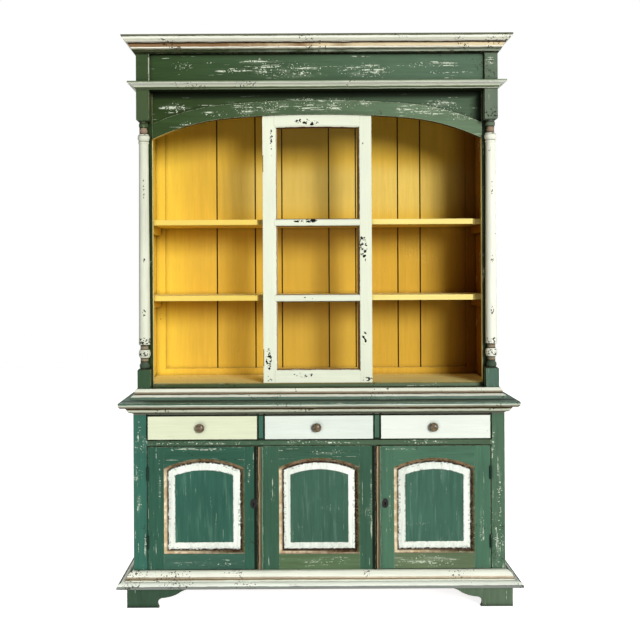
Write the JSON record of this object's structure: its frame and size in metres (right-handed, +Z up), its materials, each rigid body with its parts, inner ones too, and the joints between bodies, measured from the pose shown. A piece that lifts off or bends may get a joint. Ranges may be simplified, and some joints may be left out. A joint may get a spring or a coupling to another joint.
{
  "type": "step back cupboard",
  "caption": "Two-part step back cupboard: arched open shelves with a glazed middle frame over three drawers and arched panel doors, on bracket feet.",
  "frame": {"origin": "on the floor, at the middle of the overall width and depth", "axes": "+X to the right seen from the front, front towards -Y, +Z up"},
  "size_m": [1.51, 0.53, 2.157],
  "materials": {
    "green_paint": "olive green milk paint, worn",
    "teal_paint": "teal green milk paint, worn",
    "cream_paint": "cream white paint, chipped",
    "yellow_paint": "warm yellow paint",
    "bare_wood": "bare aged softwood",
    "black_iron": "black iron",
    "glass": "clear thin pane"
  },
  "bodies": {
    "cabinet": {"feet": "teal_paint", "base_moulding": "cream_paint", "lower_side_left": "teal_paint", "lower_side_right": "teal_paint", "lower_back_boards": "bare_wood", "lower_bottom_board": "bare_wood", "lower_face_frame": "teal_paint", "drawer_runners": "bare_wood", "lower_shelf": "bare_wood", "counter_top": "teal_paint", "counter_moulding": "cream_paint", "lock_keepers": "black_iron", "cabinet_hinge_leaves": "black_iron", "centre_frame": "teal_paint", "centre_panel": "teal_paint", "upper_base_moulding": "green_paint", "upper_bottom_board": "yellow_paint", "upper_side_left": "green_paint", "upper_side_right": "green_paint", "upper_back_boards": "yellow_paint", "corner_post_left": "green_paint", "corner_post_right": "green_paint", "upper_stile_left": "green_paint", "upper_stile_right": "green_paint", "upper_bottom_rail": "green_paint", "arch_header": "green_paint", "upper_fascia": "green_paint", "mid_moulding": "green_paint", "frieze": "green_paint", "top_board": "bare_wood", "cornice": "green_paint", "shelf_lower": "yellow_paint", "shelf_upper": "yellow_paint", "shelf_cleats": "yellow_paint", "glazed_stiles": "cream_paint", "glazed_head_rail": "cream_paint", "glazed_bottom_rail": "cream_paint", "glazing_bars": "cream_paint", "glass_panes": "glass"},
    "drawer_left": {"drawer_left_front": "yellow_paint", "drawer_left_box": "bare_wood", "drawer_left_knob": "bare_wood"},
    "drawer_middle": {"drawer_middle_front": "cream_paint", "drawer_middle_box": "bare_wood", "drawer_middle_knob": "bare_wood"},
    "drawer_right": {"drawer_right_front": "cream_paint", "drawer_right_box": "bare_wood", "drawer_right_knob": "bare_wood"},
    "door_left": {"door_left_frame": "teal_paint", "door_left_panel": "teal_paint", "door_left_astragal": "teal_paint", "door_left_hinge_leaves": "black_iron", "door_left_lock": "black_iron"},
    "lock_bolt_left": {"door_left_bolt": "black_iron"},
    "door_right": {"door_right_frame": "teal_paint", "door_right_panel": "teal_paint", "door_right_astragal": "teal_paint", "door_right_hinge_leaves": "black_iron", "door_right_lock": "black_iron"},
    "lock_bolt_right": {"door_right_bolt": "black_iron"}
  },
  "joints": [
    {"name": "drawer_left_slide", "type": "slide", "parent": "cabinet", "child": "drawer_left", "axis": [0, -1, 0], "range_m": [0, 0.3]},
    {"name": "drawer_middle_slide", "type": "slide", "parent": "cabinet", "child": "drawer_middle", "axis": [0, -1, 0], "range_m": [0, 0.3]},
    {"name": "drawer_right_slide", "type": "slide", "parent": "cabinet", "child": "drawer_right", "axis": [0, -1, 0], "range_m": [0, 0.3]},
    {"name": "door_left_hinge", "type": "hinge", "parent": "cabinet", "child": "door_left", "pos_m": [-0.64425, -0.2122, 0.367], "axis": [0, 0, -1], "range_deg": [0, 170]},
    {"name": "lock_bolt_left_slide", "type": "slide", "parent": "door_left", "child": "lock_bolt_left", "axis": [1, 0, 0], "range_m": [0, 0.01]},
    {"name": "door_right_hinge", "type": "hinge", "parent": "cabinet", "child": "door_right", "pos_m": [0.64425, -0.2122, 0.367], "axis": [0, 0, 1], "range_deg": [0, 170]},
    {"name": "lock_bolt_right_slide", "type": "slide", "parent": "door_right", "child": "lock_bolt_right", "axis": [-1, 0, 0], "range_m": [0, 0.01]}
  ]
}
